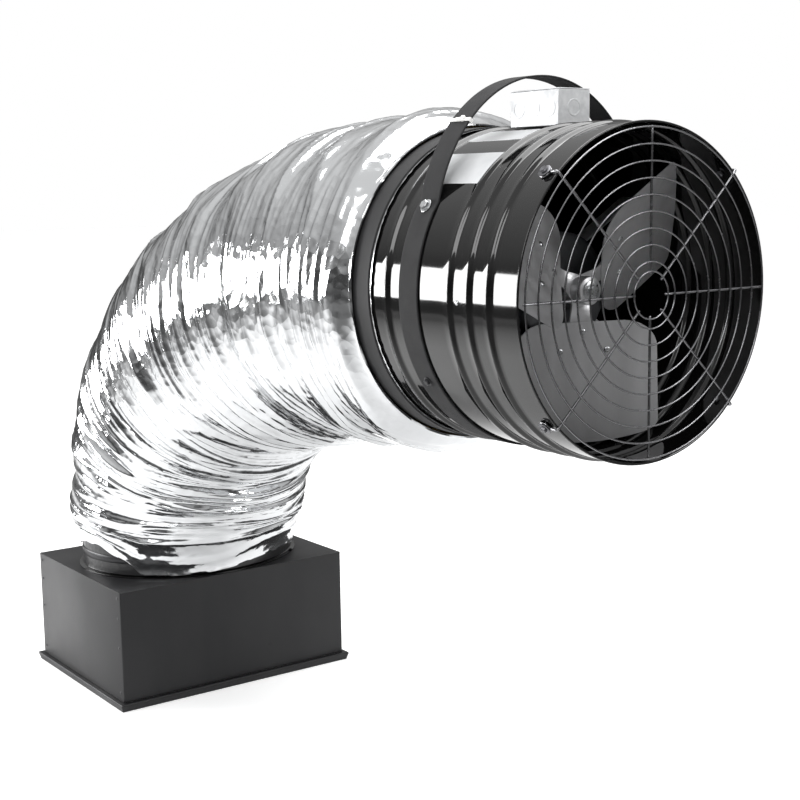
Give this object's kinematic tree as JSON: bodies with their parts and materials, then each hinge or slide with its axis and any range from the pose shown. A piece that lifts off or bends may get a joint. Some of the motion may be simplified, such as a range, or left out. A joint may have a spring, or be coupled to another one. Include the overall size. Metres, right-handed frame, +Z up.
{
  "type": "whole house fan",
  "caption": "Ducted whole house fan: ceiling damper box with gravity doors, insulated foil duct and a strap-hung axial fan head with a wire guard.",
  "frame": {"origin": "Centre of the damper box's open bottom, in the ceiling plane.", "axes": "+X along the long side of the box and +Z up; the fan head blows along -Y."},
  "size_m": [0.475, 1.4224, 1.0382],
  "materials": {
    "box_paint": "satin charcoal powder coat",
    "housing_paint": "gloss black paint",
    "foil": "crinkled metallised foil",
    "band_tape": "matte black band",
    "galvanised": "galvanised sheet",
    "zinc": "zinc plated",
    "dark_bolt": "black oxide",
    "blade_sheet": "matte mill finish",
    "motor_paint": "satin dark grey",
    "bare_steel": "dull steel",
    "winding": "enamelled copper",
    "guard_wire": "black coated wire",
    "webbing": "woven webbing",
    "nylon": "natural nylon",
    "rubber": "matte",
    "foam": "closed-cell foam board",
    "glass_wool": "glass wool blanket",
    "liner_film": "thin film"
  },
  "bodies": {
    "root": {"damper_box": "box_paint", "base_lip": "box_paint", "oval_collar": "box_paint", "seat_frame": "box_paint", "hinge_mullion": "box_paint", "door_stop": "box_paint", "fan_housing": "housing_paint", "foil_jacket": "foil", "head_clamp": "band_tape", "junction_box": "galvanised", "junction_cover": "galvanised", "strap_bolt_right": "zinc", "strap_bolt_left": "zinc", "guard_bolt_1": "zinc", "guard_bolt_2": "zinc", "guard_bolt_3": "zinc", "guard_bolt_4": "zinc", "box_screw_1": "zinc", "box_screw_2": "zinc", "arm_bolt_left": "dark_bolt", "arm_bolt_right": "dark_bolt", "motor_can": "motor_paint", "motor_front_bell": "motor_paint", "motor_rear_bell": "motor_paint", "front_bearing": "bare_steel", "rear_bearing": "bare_steel", "motor_band": "bare_steel", "motor_arm_1": "bare_steel", "motor_arm_2": "bare_steel", "motor_arm_3": "bare_steel", "motor_arm_4": "bare_steel", "hinge_rod_front": "bare_steel", "hinge_rod_rear": "bare_steel", "collar_clamp": "bare_steel", "motor_stator": "winding", "wire_guard": "guard_wire", "hanging_strap": "webbing", "strap_tie": "nylon", "motor_bush_1": "rubber", "motor_bush_2": "rubber", "motor_bush_3": "rubber", "motor_bush_4": "rubber", "door_seal_front": "rubber", "door_seal_rear": "rubber", "duct_insulation": "glass_wool", "duct_liner": "liner_film"},
    "rotor": {"hub_spider": "blade_sheet", "hub_bolt": "zinc", "blade_1": "blade_sheet", "blade_2": "blade_sheet", "blade_3": "blade_sheet", "motor_shaft": "bare_steel", "motor_core": "bare_steel"},
    "door_front": {"door_pan_front": "galvanised", "door_foam_front": "foam"},
    "door_rear": {"door_pan_rear": "galvanised", "door_foam_rear": "foam"}
  },
  "joints": [
    {"name": "rotor_spin", "type": "hinge", "parent": "root", "child": "rotor", "pos_m": [0, -1.112, 0.77], "axis": [0, 1, 0], "continuous": true},
    {"name": "door_front_swing", "type": "hinge", "parent": "root", "child": "door_front", "pos_m": [0, -0.012, 0.0383], "axis": [-1, 0, 0], "range_deg": [0, 80]},
    {"name": "door_rear_swing", "type": "hinge", "parent": "root", "child": "door_rear", "pos_m": [0, 0.012, 0.0383], "axis": [1, 0, 0], "range_deg": [0, 80]}
  ]
}
